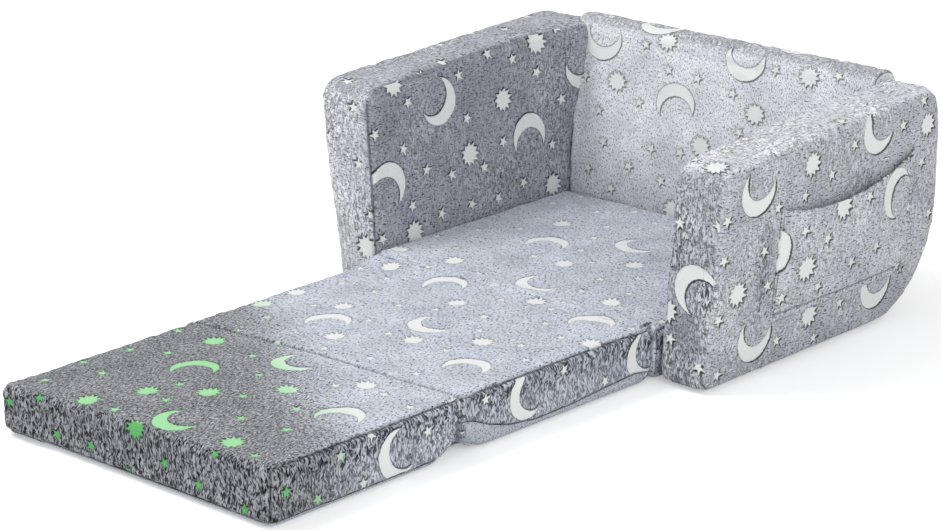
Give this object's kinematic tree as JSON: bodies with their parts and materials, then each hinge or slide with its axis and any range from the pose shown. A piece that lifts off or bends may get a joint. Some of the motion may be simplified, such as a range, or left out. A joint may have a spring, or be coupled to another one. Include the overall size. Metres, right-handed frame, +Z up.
{
  "type": "kids flip open sofa",
  "caption": "Low plush foam sofa for a toddler whose seat flips open on fabric hinges into a flat lounger, with arms, a backrest and a side pocket.",
  "frame": {"origin": "centre of the unfolded sofa's footprint, on the floor", "axes": "+X towards the arm with the pocket (the right arm seen from the front), +Y towards the backrest, so the foot end of the lounger is at -Y, +Z up"},
  "size_m": [0.6148, 1.0152, 0.281],
  "materials": {
    "plush": "silver grey frosted plush with pale moons and stars",
    "mattress_plush": "blue grey frosted plush with pale moons and stars, which glow green in the dark",
    "base_fabric": "smooth woven base fabric",
    "foam": "open cell foam, inside the covers",
    "zip_tape": "woven polyester tape with a nylon coil",
    "zip_metal": "satin zinc alloy"
  },
  "bodies": {
    "frame": {"arm_foam_left": "foam", "arm_foam_right": "foam", "arm_cover_left": "plush", "arm_cover_right": "plush", "arm_base_panel_left": "base_fabric", "arm_base_panel_right": "base_fabric", "back_foam": "foam", "back_cover": "plush", "back_base_panel": "base_fabric", "back_zip_tape": "zip_tape", "side_pocket": "plush", "seat_foam": "foam", "seat_cover": "mattress_plush", "seat_base_panel": "base_fabric", "rear_hinge_strip": "mattress_plush"},
    "middle_pad": {"middle_foam": "foam", "middle_cover": "mattress_plush", "middle_base_panel": "base_fabric", "middle_zip_tape": "zip_tape", "front_hinge_strip": "base_fabric"},
    "front_pad": {"front_foam": "foam", "front_cover": "mattress_plush", "front_base_panel": "base_fabric", "front_zip_tape": "zip_tape"},
    "back_slider": {"back_zip_slider": "zip_metal"},
    "back_pull": {"back_zip_pull": "zip_metal"},
    "middle_slider": {"middle_zip_slider": "zip_metal"},
    "middle_pull": {"middle_zip_pull": "zip_metal"},
    "front_slider": {"front_zip_slider": "zip_metal"},
    "front_pull": {"front_zip_pull": "zip_metal"}
  },
  "joints": [
    {"name": "middle_fold", "type": "hinge", "parent": "frame", "child": "middle_pad", "pos_m": [-0.00469, 0.07102, 0.0683], "axis": [-1, 0, 0], "range_deg": [0, 180], "deforming": ["rear_hinge_strip"]},
    {"name": "front_fold", "type": "hinge", "parent": "middle_pad", "child": "front_pad", "pos_m": [-0.00469, -0.23778, 0], "axis": [-1, 0, 0], "range_deg": [-180, 0], "deforming": ["front_hinge_strip"]},
    {"name": "back_zip_slide", "type": "slide", "parent": "frame", "child": "back_slider", "axis": [-1, 0, 0], "range_m": [0, 0.278]},
    {"name": "back_pull_swing", "type": "hinge", "parent": "back_slider", "child": "back_pull", "pos_m": [0.13431, 0.50587, 0.118], "axis": [0, 0, -1], "range_deg": [0, 180]},
    {"name": "middle_zip_slide", "type": "slide", "parent": "middle_pad", "child": "middle_slider", "axis": [0.0138, -0.9999, 0], "range_m": [0, 0.196]},
    {"name": "middle_pull_swing", "type": "hinge", "parent": "middle_slider", "child": "middle_pull", "pos_m": [-0.21279, 0.01457, 0.0313], "axis": [0, 0, -1], "range_deg": [0, 180]},
    {"name": "front_zip_slide", "type": "slide", "parent": "front_pad", "child": "front_slider", "axis": [0.0138, -0.9999, 0], "range_m": [0, 0.158]},
    {"name": "front_pull_swing", "type": "hinge", "parent": "front_slider", "child": "front_pull", "pos_m": [-0.20857, -0.29423, 0.0313], "axis": [0, 0, -1], "range_deg": [0, 180]}
  ],
  "couplings": [
    {"joint": "front_fold", "follows": "middle_fold", "ratio": -1}
  ]
}
